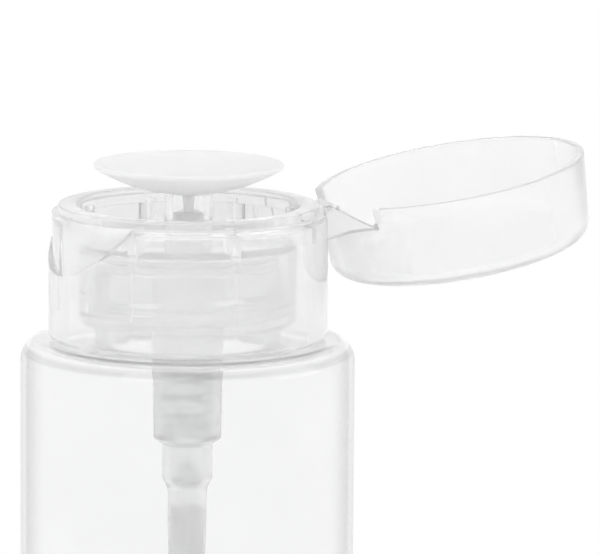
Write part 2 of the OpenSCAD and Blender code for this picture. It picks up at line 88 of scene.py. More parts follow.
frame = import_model()
MM = 0.001
JOINTS = {joint["name"]: joint for joint in frame["joints"]}
SLOTS = {part["node"]: part["material_slot"] for part in frame["record"]["subparts"]}
ROUND = 192         # points round a turned piece
SHARP = 35          # degrees at an edge that stays sharp
BITE = 0.5          # mm that joined meshes reach into each other
PRESSED = 0.04      # mm of play between pressed parts


def foot(node):
    """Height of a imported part's lowest point, in mm."""
    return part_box(node)[0].z / MM


def top(node):
    """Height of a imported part's highest point, in mm."""
    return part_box(node)[1].z / MM


def radius(node):
    """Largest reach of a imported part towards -Y, in mm, which is its radius if it is round."""
    return -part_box(node)[0].y / MM


def span(node):
    """Lowest point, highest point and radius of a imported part, in mm."""
    return foot(node), top(node), radius(node)


# ---- sizes and colours


def length(name, text, value):
    """A size given in millimetres and kept in metres."""
    return FloatProperty(name=name, description=text, default=value * MM, unit="LENGTH",
                         subtype="DISTANCE", precision=5)


def angle(name, text, value):
    return FloatProperty(name=name, description=text, default=math.radians(value),
                         unit="ROTATION", subtype="ANGLE")


def factor(name, text, value):
    """A plain number, such as a power, a slope or a lamp's strength."""
    return FloatProperty(name=name, description=text, default=value, min=0)


def count(name, text, value):
    return IntProperty(name=name, description=text, default=value, min=2)


def colour(name, text, value):
    return FloatVectorProperty(name=name, description=text, default=value, size=3, min=0, max=1,
                               subtype="COLOR")


def grey(name, text, value):
    return colour(name, text, (value, value, value))


def group(name):
    return getattr(bpy.context.scene, "dispenser_" + name)


def sizes(name):
    """A group's values with its lengths in millimetres."""
    chosen = group(name)
    values = {}
    for key in chosen.__annotations__:
        value = getattr(chosen, key)
        is_length = chosen.bl_rna.properties[key].unit == "LENGTH"
        values[key] = value / MM if is_length else value
    return SimpleNamespace(**values)


class BottleSizes(PropertyGroup):
    """The blown bottle and its neck."""
    radius: length("Radius", "Outer radius of the body", radius("bottle"))
    shoulder: length("Shoulder height", "Height of the flat shoulder", 101.7)
    wall: length("Wall", "Thickness of the body's wall", 0.9)
    shoulder_round: length("Shoulder rounding", "Radius of the shoulder's corner", 3.6)
    foot_round: length("Foot rounding", "Radius of the corner at the foot", 4)
    foot_ring: length("Foot ring", "Width of the ring that the bottle stands on", 2.4)
    push_up: length("Push-up", "Height of the dome in the base", 3.2)
    neck: length("Neck radius", "Outer radius of the neck", 15.2)
    neck_wall: length("Neck wall", "Thickness of the neck's wall", 2.2)
    neck_fillet: length("Neck fillet", "Rounding between neck and shoulder", 1.2)


class ThreadSizes(PropertyGroup):
    """The screw threads of neck and closure."""
    lead: length("Lead", "Rise of the thread in one turn", 4.233)
    depth: length("Depth", "Height of the thread above its wall", 0.85)
    width: length("Width", "Width of the thread at its root", 1.9)
    drop: length("Drop", "Distance of the neck's thread below the neck's top", 1.6)
    turns: factor("Turns", "Number of turns of the neck's thread", 1.5)


class ClosureSizes(PropertyGroup):
    """The inner screw closure."""
    wall: length("Wall", "Thickness of the skirt", 1.4)
    plate: length("Plate", "Thickness of the top plate", 1.3)
    taper: length("Taper", "Taper of the skirt in radius", 0.15)
    corner: length("Corner", "Rounding of the upper corner", 1)
    chamfer: length("Chamfer", "Chamfer at the lower corner", 0.9)
    hole: length("Hole", "Radius of the hole for the stem", 4.45)


class ShellSizes(PropertyGroup):
    """The outer shell, with its stepped ring, ribs and thumb recess."""
    wall: length("Wall", "Thickness of the wall", 1.4)
    ledge: length("Ledge", "Depth of the lid's ledge below the ring", 1.3)
    ring: length("Ring radius", "Outer radius of the ring", 21.5)
    ring_width: length("Ring width", "Width of the ring's top", 3.1)
    ring_depth: length("Ring depth", "Thickness of the ring", 2.5)
    chamfer: length("Chamfer", "Chamfer along the lower edge", 0.6)
    edge: length("Edge rounding", "Rounding of the moulded edges", 0.3)
    ribs: count("Ribs", "Number of locating ribs", 8)
    lug_width: length("Lug width", "Width of the short lugs", 1.5)
    lug_reach: length("Lug reach", "Distance that the lugs reach into the well", 1)
    lug_drop: length("Lug drop", "Distance of the lugs' tops below the ring", 1.5)
    root: length("Lug root", "Distance that a lug's root reaches in from the wall", 0.8)
    root_drop: length("Root drop", "Distance of a root's foot below the closure's top", 0.9)
    rib: length("Rib", "Thickness of the long ribs", 0.3)
    rib_height: length("Rib height", "Distance that the long ribs reach inwards", 0.3)
    rib_foot: length("Rib foot", "Height of the long ribs' lower ends", 107.5)
    thumb_radius: length("Thumb recess", "Radius of the recess' outline", 18.9)
    thumb_height: length("Thumb height", "Height of the recess below the ledge", 9.4)
    thumb_top: length("Recess at top", "Depth of the recess at its upper edge", 0.5)
    thumb_low: length("Recess at foot", "Depth of the recess at its lowest point", 0.85)
    pad: length("Pad", "Thickness of the pad behind the hinge", 0.8)
    pad_half: length("Pad half width", "Half the width of the pad", 12.7)
    pad_drop: length("Pad drop", "Height of the pad below the ring", 6.5)
    tongue_half: length("Tongue half width", "Half the width of the pad's tongue", 5.4)
    tongue_drop: length("Tongue drop", "Height of the tongue below the ring", 12)
    fold_gap: length("Fold gap", "Distance of the strap's root from the fold line", 0.15)


class LidSizes(PropertyGroup):
    """The flip-top lid."""
    height: length("Height", "Height of the lid", 14.2)
    wall: length("Wall", "Thickness of the side wall", 1.1)
    plate: length("Plate", "Thickness of the top plate", 1.3)
    draft: length("Draft", "Taper of the wall in radius", 1)
    corner: length("Corner", "Rounding of the outer corner", 3)
    gap: length("Gap", "Gap between the shut lid and its ledge", 0.3)


class HingeSizes(PropertyGroup):
    """The strap and the two wings of the snap hinge."""
    strap_half: length("Strap half width", "Half the width of the middle strap", 2.4)
    strap_height: length("Strap root", "Depth of the strap's roots", 1.7)
    lid_slope: factor("Lid fold slope", "Slope of a wing's lid fold", 1.74)
    shell_slope: factor("Shell fold slope", "Slope of a wing's shell fold", 1.52)
    lift: angle("Fold lift", "Angle between the lid's fold plane and the horizontal", 41.8)
    lid_reach: length("Lid reach", "Distance of a wing's lid corner from the fold line", 5.4)
    shell_reach: length("Shell reach", "Distance of a wing's shell corner from the fold line", 5.25)
    shell_start: length("Shell start", "Distance at which a wing's shell side starts", 1.2)
    lid_start: length("Lid start", "Distance at which a wing's lid side starts", 0.9)
    thickness: length("Thickness", "Thickness of a wing", 0.6)
    hollow: length("Hollow", "Hollow of a wing's free edge", 0.9)
    play: length("Play", "Play round a wing", 0.18)
    film: length("Film", "Thickness of the strap's film", 0.3)
    film_drop: length("Film drop", "Distance of the film below the fold line", 0.15)
    film_reach: length("Film reach", "Distance of the film's ends from the fold line", 0.4)


class DishSizes(PropertyGroup):
    """The press dish with its stem and pin."""
    depth: length("Depth", "Depth of the underside, from rim to stem", 4.65)
    thickness: length("Thickness", "Thickness of the dish", 1.25)
    rim: length("Rim", "Height of the rim's edge", 0.75)
    rim_width: length("Rim width", "Width of the rim's sloping top", 1.3)
    rim_dip: length("Rim dip", "Drop from the rim's edge to the bowl", 0.3)
    bowl: factor("Bowl curve", "Power of the bowl's curve, where 1 is a cone", 1.7)
    stem: length("Stem", "Outer radius of the stem", 3.95)
    bore: length("Bore", "Radius of the stem's bore", 2.6)
    pin: length("Pin", "Radius of the pin at its root", 1)
    pin_tip: length("Pin tip", "Radius of the pin at its tip", 0.725)
    pin_length: length("Pin length", "Length of the pin", 3.2)
    outlet: length("Outlet", "Radius of an outlet hole", 0.45)
    outlets: count("Outlets", "Number of outlet holes", 4)


class PumpSizes(PropertyGroup):
    """The pump inside the bottle."""
    flange: length("Flange", "Thickness of the housing's flange", 1.4)
    upper: length("Upper radius", "Radius of the housing under its flange", 6.15)
    lower: length("Lower radius", "Radius of the housing at its lower shoulder", 5.6)
    bore: length("Bore", "Radius of the bore that the piston runs in", 4.8)
    valve: length("Valve radius", "Outer radius of the valve chamber", 4.2)
    valve_bore: length("Valve bore", "Radius of the valve chamber", 2.6)
    seat: length("Seat", "Radius of the bore under the inlet ball", 1.3)
    seat_drop: length("Seat drop", "Distance of the seat below the valve chamber", 0.8)
    seat_cone: length("Seat cone", "Height of the cone above the seat", 1.4)
    tail_top: length("Tail top", "Radius of the tail at its upper end", 3.35)
    tail_foot: length("Tail foot", "Radius of the tail at its lower end", 3.1)
    barrel_foot: length("Barrel foot", "Height of the barrel's lower shoulder", 84.95)
    barrel_floor: length("Barrel floor", "Thickness of the floor under the piston", 0.8)
    valve_foot: length("Valve foot", "Height of the valve chamber's lower end", 78.217)
    guide_wall: length("Guide wall", "Thickness of the stem guide's wall", 1.1)
    guide_flange: length("Guide flange", "Thickness of the stem guide's flange", 0.7)
    guide_play: length("Guide play", "Play between the stem and its guide", 0.2)
    rod: length("Rod", "Outer radius of the piston rod", 2.56)
    collar: length("Collar", "Radius of the rod's collar", 3.8)
    collar_height: length("Collar height", "Thickness of the rod's collar", 1.2)
    rod_bore: length("Rod bore", "Radius of the outlet ball's chamber", 1.55)
    rod_channel: length("Rod channel", "Radius of the channel through the rod", 0.85)
    chamber: length("Chamber", "Depth of the outlet ball's chamber", 4)
    lip: length("Lip", "Thickness of the piston's lips", 0.7)
    wire: length("Wire", "Radius of the spring's wire", 0.4)
    coil: length("Coil", "Mean radius of the spring", 3.9)
    turns: count("Turns", "Number of turns in the spring", 5)
    tube_wall: length("Tube wall", "Thickness of the dip tube's wall", 0.7)


class PhotoStage(PropertyGroup):
    """Camera, lamps and floor."""
    lens: factor("Lens", "Focal length on a 36 mm sensor, in mm", 328.63)
    camera_from: FloatVectorProperty(
        name="Camera from", description="Where the camera stands", size=3, subtype="XYZ",
        unit="LENGTH", default=(-0.3158, -0.8319, 0.2589))
    camera_to: FloatVectorProperty(
        name="Camera to", description="The point at the middle of the picture", size=3,
        subtype="XYZ", unit="LENGTH", default=(0.01722, -0.00654, 0.11185))
    roll: angle("Roll", "Turn of the camera about its view", 0.456)
    ambient: factor("Ambient light", "Strength of the even light", 1.05)
    key: factor("Key light", "Power of the main lamp, in watts", 1.3)
    fill: factor("Fill light", "Power of the side lamp, in watts", 0.7)
    layers: count("Clear layers", "Most see-through surfaces that a ray passes", 128)
    floor_radius: length("Floor radius", "Radius of the round floor", 4000)


class Finishes(PropertyGroup):
    """Colours of the plastics and the steel."""
    clear: colour("Clear", "Colour of the bottle's wall", (0.95, 0.952, 0.952))
    # On the base, this lighter colour is painted light over the shadow of the foot ring.
    shoulder: colour("Shoulder", "Colour of the bottle's shoulder and base",
                             (0.988, 0.989, 0.989))
    shell: colour("Shell", "Colour of the outer shell", (0.983, 0.984, 0.984))
    satin: colour("Satin", "Colour of the shell's foot and its thumb recess",
                          (0.978, 0.979, 0.979))
    lid: colour("Lid", "Colour of the lid", (0.967, 0.968, 0.968))
    wing: grey("Hinge", "Colour of the wings and the strap", 0.96)
    # The dish's darker upper side and near-white underside are painted shade and painted light:
    # they even out the lamp-lit top and the shaded underside.
    dish: grey("Dish", "Colour of the dish's upper side", 0.915)
    under: grey("Underside", "Colour of the dish's underside", 0.999)
    stem: grey("Stem", "Colour of the dish's stem", 0.99)
    pin: grey("Pin", "Colour of the pin in the stem", 0.9)
    closure: grey("Closure", "Colour of the screw closure", 0.985)
    pump: grey("Pump", "Colour of the housing and the guide", 0.985)
    rod: grey("Rod", "Colour of the piston rod", 0.96)
    tube: grey("Tube", "Colour of the dip tube", 0.78)
    soft: grey("Soft", "Colour of the gasket and the piston", 0.92)
    steel: colour("Steel", "Colour of the balls and the spring", (0.6, 0.61, 0.62))


# ---- materials


# Share of the light let through, roughness, tint left at an edge as painted shade where the surface
# is seen edge-on, glow, and its depth in mm
PLASTICS = {
    "clear": (1.0, 0.03, 0.38),
    "shoulder": (0.8, 0.06, 0.97),
    "shell": (0.75, 0.08, 0.98),
    "satin": (0.7, 0.1, 1.0),
    "lid": (0.74, 0.1, 0.96),
    "wing": (0.7, 0.15, 0.97),
    # The underside's plastic has more glow and depth than the upper side's, as painted light that
    # brightens its shade.
    "dish": (0.25, 0.38, 1.0, 1.0, 5),
    "under": (0.3, 0.38, 1.0, 1.0, 7),
    "stem": (0.9, 0.06, 0.98),
    "pin": (0.5, 0.2, 0.95, 1.0),
    "closure": (0.87, 0.04, 1.0, 0.1),
    "pump": (0.6, 0.08, 1.0, 0.3),
    "rod": (0.4, 0.15, 1.0, 0.3),
    "tube": (0.6, 0.15, 0.9),
    "soft": (0.3, 0.4, 1.0, 0.3),
}


def shader(name):
    """A new material with its node tree and its principled shader."""
    material = bpy.data.materials.new(name)
    material.use_nodes = True
    tree = material.node_tree
    return material, tree, tree.nodes["Principled BSDF"]


def wire(tree, node, inputs):
    """Sets a node's inputs, each to a value or to a link from a socket."""
    for name, value in inputs.items():
        if isinstance(value, bpy.types.NodeSocket):
            tree.links.new(value, node.inputs[name])
        else:
            node.inputs[name].default_value = value


def add(tree, kind, inputs=None, **settings):
    """Adds a shader node with its settings and its inputs."""
    node = tree.nodes.new("ShaderNode" + kind)
    for name, value in settings.items():
        setattr(node, name, value)
    wire(tree, node, inputs or {})
    return node


def cloud(tree, scale, low, high, detail=2.0):
    """Soft noise in the part's own coordinates, spread over a narrow range."""
    spot = add(tree, "TexCoord")
    noise = add(tree, "TexNoise", {
        "Vector": spot.outputs["Object"], "Scale": scale, "Detail": detail})
    return add(tree, "MapRange", {
        "Value": noise.outputs["Fac"], "From Min": 0.3, "From Max": 0.7,
        "To Min": low, "To Max": high}).outputs["Result"]


def mottle(tree, tint, grain, scale):
    """Slight clouds of lighter and darker plastic."""
    return add(tree, "Mix", {
        "Factor": cloud(tree, scale, 0, 1),
        "A": (*(c * (1 - grain) for c in tint), 1),
        "B": (*(min(1, c * (1 + grain)) for c in tint), 1)}, data_type="RGBA").outputs["Result"]


def see_through(name, tint, clear, rough, edge, glow=0.0, depth=3):
    """Plastic that lets a share of the light through, with painted shade that darkens its colour
    where its outer side is seen edge-on.
    """
    material, tree, main = shader(name)
    plain = mottle(tree, tint, 0.01, 60)
    # Painted shade: towards grazing view the colour falls to tint times edge, standing in for the
    # dark lines that refraction draws along the walls.
    facing = add(tree, "LayerWeight")
    edge_shade_ramp = add(tree, "MapRange", {"Value": facing.outputs["Facing"], "From Min": 0.55})
    side = add(tree, "NewGeometry")
    painted_edge_shade = add(tree, "Math", {
        0: edge_shade_ramp.outputs["Result"], 1: side.outputs["Backfacing"]},
        operation="SUBTRACT", use_clamp=True)
    rim = add(tree, "Mix", {
        "Factor": painted_edge_shade.outputs[0], "A": plain, "B": (*(c * edge for c in tint), 1)},
        data_type="RGBA")
    ripple = add(tree, "Bump", {
        "Strength": 0.004, "Distance": 0.2 * MM, "Height": cloud(tree, 350, 0, 1, 3)})
    wire(tree, main, {
        "Base Color": rim.outputs["Result"],
        "Roughness": cloud(tree, 220, rough * 0.85, rough * 1.15),
        "Transmission Weight": clear,
        "Subsurface Weight": glow,
        "Subsurface Radius": (1, 1, 1),
        "Subsurface Scale": depth * MM,
        "IOR": 1.5,
        "Normal": ripple.outputs["Normal"]})
    return material


def paint_shade_bands(material, bands):
    """Paints shade on a plastic in bands by height: bands are heights and shares of the light."""
    tree = material.node_tree
    main = tree.nodes["Principled BSDF"]
    low, high = bands[0][0], bands[-1][0]
    spot = add(tree, "TexCoord")
    split = add(tree, "SeparateXYZ", {"Vector": spot.outputs["Object"]})
    along = add(tree, "MapRange", {
        "Value": split.outputs["Z"], "From Min": low * MM, "From Max": high * MM})
    ramp = add(tree, "ValToRGB", {"Fac": along.outputs["Result"]})
    steps = ramp.color_ramp.elements
    for height, _ in bands[1:-1]:
        steps.new((height - low) / (high - low))
    for step, (_, left) in zip(steps, bands):
        step.color = (left, left, left, 1)
    product = add(tree, "Mix", {
        "Factor": 1, "A": main.inputs["Base Color"].links[0].from_socket,
        "B": ramp.outputs["Color"]}, data_type="RGBA", blend_type="MULTIPLY")
    wire(tree, main, {"Base Color": product.outputs["Result"]})


def metal(name, tint, rough=0.22):
    material, tree, main = shader(name)
    wire(tree, main, {
        "Metallic": 1,
        "Base Color": mottle(tree, tint, 0.06, 900),
        "Roughness": cloud(tree, 1400, rough * 0.7, rough * 1.3)})
    return material


def finish(name):
    """The plastic of that name, or the steel, made when it is first asked for."""
    full = name + "_plastic" if name in PLASTICS else "stainless_" + name
    if full in bpy.data.materials:
        return bpy.data.materials[full]
    tint = getattr(group("finishes"), name)
    if name in PLASTICS:
        return see_through(full, tint, *PLASTICS[name])
    return metal(full, tint)


# ---- mesh tools, in millimetres


def soften(corners, steps=5):
    """Rounds a closed profile: each corner is (radius, height) or (radius, height, rounding)."""
    points = []
    for i, (r, z, *rounding) in enumerate(corners):
        here = Vector((r, z))
        back = Vector(corners[i - 1][:2]) - here
        ahead = Vector(corners[(i + 1) % len(corners)][:2]) - here
        if not rounding:
            points.append(here)
            continue
        reach = rounding[0] / math.tan(back.angle(ahead) / 2)
        reach = min(reach, 0.49 * back.length, 0.49 * ahead.length)
        start, end = here + back.normalized() * reach, here + ahead.normalized() * reach
        bend = math.sin(back.angle(ahead) / 2)
        for k in range(steps + 1):
            t = k / steps
            a, b, c = (1 - t) ** 2, 2 * t * (1 - t) * bend, t * t
            points.append((start * a + here * b + end * c) / (a + b + c))
    return [tuple(p) for p in points]


def polar(r, a, z=0.0):
    return Vector((r * math.cos(a), r * math.sin(a), z))


def revolve(profile, steps=ROUND):
    """Turns a closed profile of (radius, height) points round Z."""
    mesh = bmesh.new()
    rings = []
    for r, z in profile:
        turns = [math.tau * k / steps for k in range(steps)] if r > 1e-6 else [0]
        rings.append([mesh.verts.new(polar(r, a, z)) for a in turns])
    for low, high in zip(rings, rings[1:] + rings[:1]):
        for k in range(steps):
            ring = [low[k % len(low)], low[(k + 1) % steps % len(low)],
                    high[(k + 1) % steps % len(high)], high[k % len(high)]]
            corners = list(dict.fromkeys(ring))
            if len(corners) > 2:
                mesh.faces.new(corners)
    return mesh


def prism(outline, low, high, place=Matrix.Identity(4)):
    """A straight prism over a flat outline, from low to high along its own Z."""
    mesh = bmesh.new()
    foot_ring = [mesh.verts.new((x, y, low)) for x, y in outline]
    top_ring = [mesh.verts.new((x, y, high)) for x, y in outline]
    mesh.faces.new(foot_ring)
    mesh.faces.new(top_ring)
    for k in range(len(outline)):
        n = (k + 1) % len(outline)
        mesh.faces.new([foot_ring[k], foot_ring[n], top_ring[n], top_ring[k]])
    mesh.transform(place)
    return mesh


# Stands a prism up: its outline is seen along X, and its own Z points along X
UPRIGHT = Matrix(((0, 0, 1, 0), (1, 0, 0, 0), (0, 1, 0, 0), (0, 0, 0, 1)))


def block(low, high, turn=0.0):
    """A box between two corners, turned about Z."""
    outline = [(low[0], low[1]), (high[0], low[1]), (high[0], high[1]), (low[0], high[1])]
    return prism(outline, low[2], high[2], Matrix.Rotation(turn, 4, "Z"))


def coil(r, turns, steps, height, section):
    """Sweeps a section along a coil. For a share of the way along it, height gives its Z, and
    section gives offsets outwards and upwards."""
    mesh = bmesh.new()
    rings = []
    for i in range(steps + 1):
        t = i / steps
        a, z = math.tau * turns * t, height(t)
        rings.append([mesh.verts.new(polar(r + out, a, z + up)) for out, up in section(t)])
    for low, high in zip(rings, rings[1:]):
        for k in range(len(low)):
            n = (k + 1) % len(low)
            mesh.faces.new([low[k], low[n], high[n], high[k]])
    mesh.faces.new(rings[0])
    mesh.faces.new(rings[-1])
    return mesh


def to_object(name, mesh, sharp=SHARP):
    """Turns a mesh in millimetres into an object in metres, smooth but for its sharp edges."""
    bmesh.ops.scale(mesh, vec=(MM, MM, MM), verts=mesh.verts)
    bmesh.ops.recalc_face_normals(mesh, faces=mesh.faces)
    data = bpy.data.meshes.new(name)
    mesh.to_mesh(data)
    mesh.free()
    data.shade_smooth()
    data.set_sharp_from_angle(angle=math.radians(sharp))
    obj = bpy.data.objects.new(name, data)
    bpy.context.scene.collection.objects.link(obj)
    return obj


def turned(name, corners, rounding=5, steps=ROUND):
    """A turned piece, from the corners of its profile and the steps in each rounding."""
    return to_object(name, revolve(soften(corners, rounding), steps))


def band(inner, outer, low, high, *rounding):
    """Profile of a ring or a disc, with the rounding of its inner and its outer corners."""
    near, far = rounding[:1], rounding[1:]
    return [(inner, low, *near), (outer, low, *far), (outer, high, *far), (inner, high, *near)]


def taken(tool):
    """Takes a tool's mesh back, in millimetres, and removes the tool."""
    mesh = bmesh.new()
    mesh.from_mesh(tool.data)
    bmesh.ops.scale(mesh, vec=(1 / MM, 1 / MM, 1 / MM), verts=mesh.verts)
    bpy.data.objects.remove(tool)
    return mesh


def combine(obj, meshes, how):
    """Adds meshes to an object, or cuts them out of it."""
    tools = bpy.data.collections.new("tools")
    bpy.context.scene.collection.children.link(tools)
    for mesh in meshes:
        tool = to_object("tool", mesh)
        bpy.context.scene.collection.objects.unlink(tool)
        tools.objects.link(tool)
    change = obj.modifiers.new("change", "BOOLEAN")
    change.operand_type = "COLLECTION"
    change.collection = tools
    change.operation = how
    change.solver = "EXACT"
    result = bpy.data.meshes.new_from_object(obj.evaluated_get(
        bpy.context.evaluated_depsgraph_get()))
    obj.modifiers.clear()
    obj.data = result
    for tool in list(tools.objects):
        bpy.data.objects.remove(tool)
    bpy.data.collections.remove(tools)
    result.set_sharp_from_angle(angle=math.radians(SHARP))


def coat(obj, material, slot):
    """Gives an object its material. Its slot is not used."""
    obj.data.materials.clear()
    obj.data.materials.append(finish(material))


def place(obj, body, material, node=None, slot=None):
    """Finishes a piece: its material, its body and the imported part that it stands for."""
    coat(obj, material, slot or SLOTS[node])
    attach(obj, body)
    if node:
        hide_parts(node)


def paint(obj, materials, pick):
    """Adds materials to a piece, and gives each face the one that pick numbers."""
    for name in materials:
        obj.data.materials.append(finish(name))
    for face in obj.data.polygons:
        face.material_index = pick(*(face.center / MM), face.normal.z)


# Section of a thread: how far it stands out of its wall, and its place across the width
THREAD_SHAPE = ((0, -0.48), (0.75, -0.3), (0.97, -0.18), (0.97, 0.1), (0.75, 0.2), (0, 0.42))
THREAD_STEPS = 96   # sections in one turn
THREAD_FADE = 14    # sections over which an end runs out
THREAD_SUNK = 0.15  # mm that its root lies in the wall


def thread(r, depth, t, start):
    """A thread on a round wall: outwards for a positive depth and inwards for a negative one."""
    steps = int(t.turns * THREAD_STEPS)
    sunk = -math.copysign(THREAD_SUNK, depth)

    def section(along):
        grown = min(1, along * steps / THREAD_FADE, (1 - along) * steps / THREAD_FADE)
        grown = max(0.02, math.sin(grown * math.pi / 2))
        across = t.width * (0.35 + 0.65 * grown)
        rows = [(sunk, -0.5), *((reach * depth * grown, side) for reach, side in THREAD_SHAPE),
                (sunk, 0.5)]
        return [(out, side * across) for out, side in rows]

    return coil(r, t.turns, steps, lambda along: start + t.lead * t.turns * along, section)


# ---- operators


# Where each lamp stands and the side of its square, in metres, and what both look at
LAMPS = {"key": ((-0.55, -0.5, 0.75), 0.7), "fill": ((0.7, -0.35, 0.5), 0.6)}
LAMPS_AT = (0, 0, 0.1)
BOUNCES = {"max_bounces": 48, "diffuse_bounces": 12, "glossy_bounces": 32,
           "transmission_bounces": 48}


def aimed(spot, at):
    """Place of a camera or a lamp that stands at a spot and looks at a point."""
    turn = (Vector(at) - Vector(spot)).to_track_quat("-Z", "Y")
    return Matrix.Translation(spot) @ turn.to_matrix().to_4x4()


def sees_background(tree):
    """1 for the rays that see the background: camera, glossy and transmission rays."""
    path = add(tree, "LightPath")
    found = path.outputs["Is Camera Ray"]
    for kind in ("Is Glossy Ray", "Is Transmission Ray"):
        found = add(tree, "Math", {0: found, 1: path.outputs[kind]},
                    operation="MAXIMUM").outputs[0]
    return found


class DISPENSER_OT_stage(Operator):
    """Set up the camera, the lamps, the even light and the floor"""
    bl_idname = "dispenser.stage"
    bl_label = "Photo stage"

    def execute(self, context):
        scene = context.scene
        stage = group("stage")
        self.camera(scene, stage)
        for name, (spot, size) in LAMPS.items():
            data = bpy.data.lights.new(name + "_lamp", "AREA")
            data.size = size
            data.energy = getattr(stage, name)
            lamp = bpy.data.objects.new(name + "_lamp", data)
            scene.collection.objects.link(lamp)
            lamp.matrix_world = aimed(spot, LAMPS_AT)
        self.world(scene, stage)
        self.floor(stage)
        scene.view_settings.view_transform = "Standard"
        scene.cycles.transparent_max_bounces = stage.layers
        scene.cycles.blur_glossy = 0
        for name, most in BOUNCES.items():
            setattr(scene.cycles, name, most)
        return {"FINISHED"}

    def camera(self, scene, stage):
        data = bpy.data.cameras.new("camera")
        data.lens = stage.lens
        data.sensor_width = 36
        data.sensor_fit = "HORIZONTAL"
        data.clip_start = 0.01
        camera = bpy.data.objects.new("camera", data)
        scene.collection.objects.link(camera)
        camera.matrix_world = (aimed(stage.camera_from, stage.camera_to)
                               @ Matrix.Rotation(stage.roll, 4, "Z"))
        scene.camera = camera

    def world(self, scene, stage):
        """Even light for the object, behind which the background is plain white."""
        scene.world = bpy.data.worlds.new("studio")
        scene.world.use_nodes = True
        tree = scene.world.node_tree
        even = tree.nodes["Background"]
        wire(tree, even, {"Color": (1, 1, 1, 1), "Strength": stage.ambient})
        white = add(tree, "Background", {"Color": (1, 1, 1, 1)})
        mix = add(tree, "MixShader", {
            0: sees_background(tree), 1: even.outputs[0], 2: white.outputs[0]})
        wire(tree, tree.nodes["World Output"], {"Surface": mix.outputs[0]})

    def floor(self, stage):
        """A floor that keeps the shadow near the object and is white further out."""
        near, far = 0.06, 0.3
        disc = bmesh.new()
        bmesh.ops.create_circle(disc, cap_ends=True, segments=96, radius=stage.floor_radius / MM)
        floor = to_object("floor", disc)
        material, tree, main = shader("floor_white")
        wire(tree, main, {"Base Color": (0.95, 0.95, 0.95, 1), "Roughness": 0.9})
        spot = add(tree, "TexCoord")
        away = add(tree, "VectorMath", {0: spot.outputs["Object"]}, operation="LENGTH")
        reach = add(tree, "MapRange", {
            "Value": away.outputs["Value"], "From Min": near, "From Max": far})
        both = add(tree, "Math", {
            0: reach.outputs["Result"], 1: sees_background(tree)}, operation="MULTIPLY")
        mix = add(tree, "MixShader", {
            0: both.outputs[0], 1: main.outputs[0], 2: add(tree, "Emission").outputs[0]})
        wire(tree, tree.nodes["Material Output"], {"Surface": mix.outputs[0]})
        floor.data.materials.append(material)


class DISPENSER_OT_bottle(Operator):
    """Build the clear blown bottle with its threaded neck"""
    bl_idname = "dispenser.bottle"
    bl_label = "Bottle"

    def execute(self, context):
        b = sizes("bottle")
        t = sizes("thread")
        neck_top = top("bottle")
        inner = b.radius - b.wall
        bore = b.neck - b.neck_wall
        dome = b.radius - b.foot_round - b.foot_ring

        def base(lift):
            return [(dome * k / 12, b.push_up * (1 - (k / 12) ** 2) + lift) for k in range(13)]

        ceiling = b.shoulder - b.wall
        outside = base(0) + [
            (b.radius, 0, b.foot_round), (b.radius, b.shoulder, b.shoulder_round),
            (b.neck, b.shoulder, b.neck_fillet), (b.neck, neck_top, 0.4), (bore, neck_top, 0.3)]
        inside = [
            (bore, ceiling, 0.8), (inner, ceiling, b.shoulder_round - b.wall),
            (inner, b.wall, b.foot_round - b.wall)] + base(b.wall)[::-1]
        bottle = turned("clear_bottle", outside + inside, 10)
        place(bottle, "bottle_body", "clear", "bottle")
        # Painted shade: a dark line where the wall starts to curve into the shoulder, and a
        # slightly darker shoulder and neck
        line = b.shoulder - 0.55 * b.shoulder_round
        paint_shade_bands(finish("clear"), [
            (line - 0.8, 1), (line - 0.3, 0.96), (line, 0.72), (line + 0.3, 0.9),
            (b.shoulder - 0.5, 0.95), (b.shoulder + 0.3, 0.97), (neck_top, 0.97)])
        # The shoulder and the base take the lighter shoulder plastic; on the base it is painted
        # light over the shadow of the foot ring. The edge of the floor inside, at the wall's
        # height, stays clear
        flat, floor = b.shoulder - 0.3 * b.shoulder_round, b.wall - 0.01
        paint(bottle, ["shoulder"], lambda x, y, z, rise: int(z > flat or z < floor))
        start = neck_top - t.drop - t.lead * t.turns
        ridge = to_object("neck_thread", thread(b.neck, t.depth, t, start))
        place(ridge, "bottle_body", "clear", slot=SLOTS["bottle"])
        return {"FINISHED"}


class DISPENSER_OT_closure(Operator):
    """Build the inner screw closure with its thread"""
    bl_idname = "dispenser.closure"
    bl_label = "Screw closure"

    def execute(self, context):
        c = sizes("closure")
        t = sizes("thread")
        low, high, r = span("screw_closure")
        plate = high - c.plate
        skirt = r - c.wall
        closure = turned("screw_closure_cap", [
            (c.hole, plate, 0.15), (skirt, plate, 0.5), (skirt - c.taper, low, 0.15),
            (r - c.taper - c.chamfer, low, 0.2), (r - c.taper, low + c.chamfer, 0.4),
            (r, high, c.corner), (c.hole, high, 0.15)])
        place(closure, "cap", "closure", "screw_closure")
        start = top("bottle") - t.drop - t.lead * (t.turns + 0.5)
        ridge = to_object("closure_thread", thread(skirt - c.taper / 2, -t.depth, t, start))
        place(ridge, "cap", "closure", slot=SLOTS["screw_closure"])
        return {"FINISHED"}


def wing_frame():
    """The front wing's place on the shut cap, its shell and lid folds, their apex, and the
    hinge's sizes."""
    joint = JOINTS["front_wing_fold"]
    h = sizes("hinge")
    along = Vector(joint["axis"]).normalized()
    rise = math.pi - h.lift
    lid_fold = Vector((math.cos(rise), -h.lid_slope, math.sin(rise)))
    inward = along.cross(lid_fold).normalized()
    across = inward.cross(along)
    apex = Vector(joint["pos_m"]) / MM
    axes = Matrix((along, across, inward)).transposed().to_4x4()
    return Matrix.Translation(apex) @ axes, along, lid_fold, apex, h


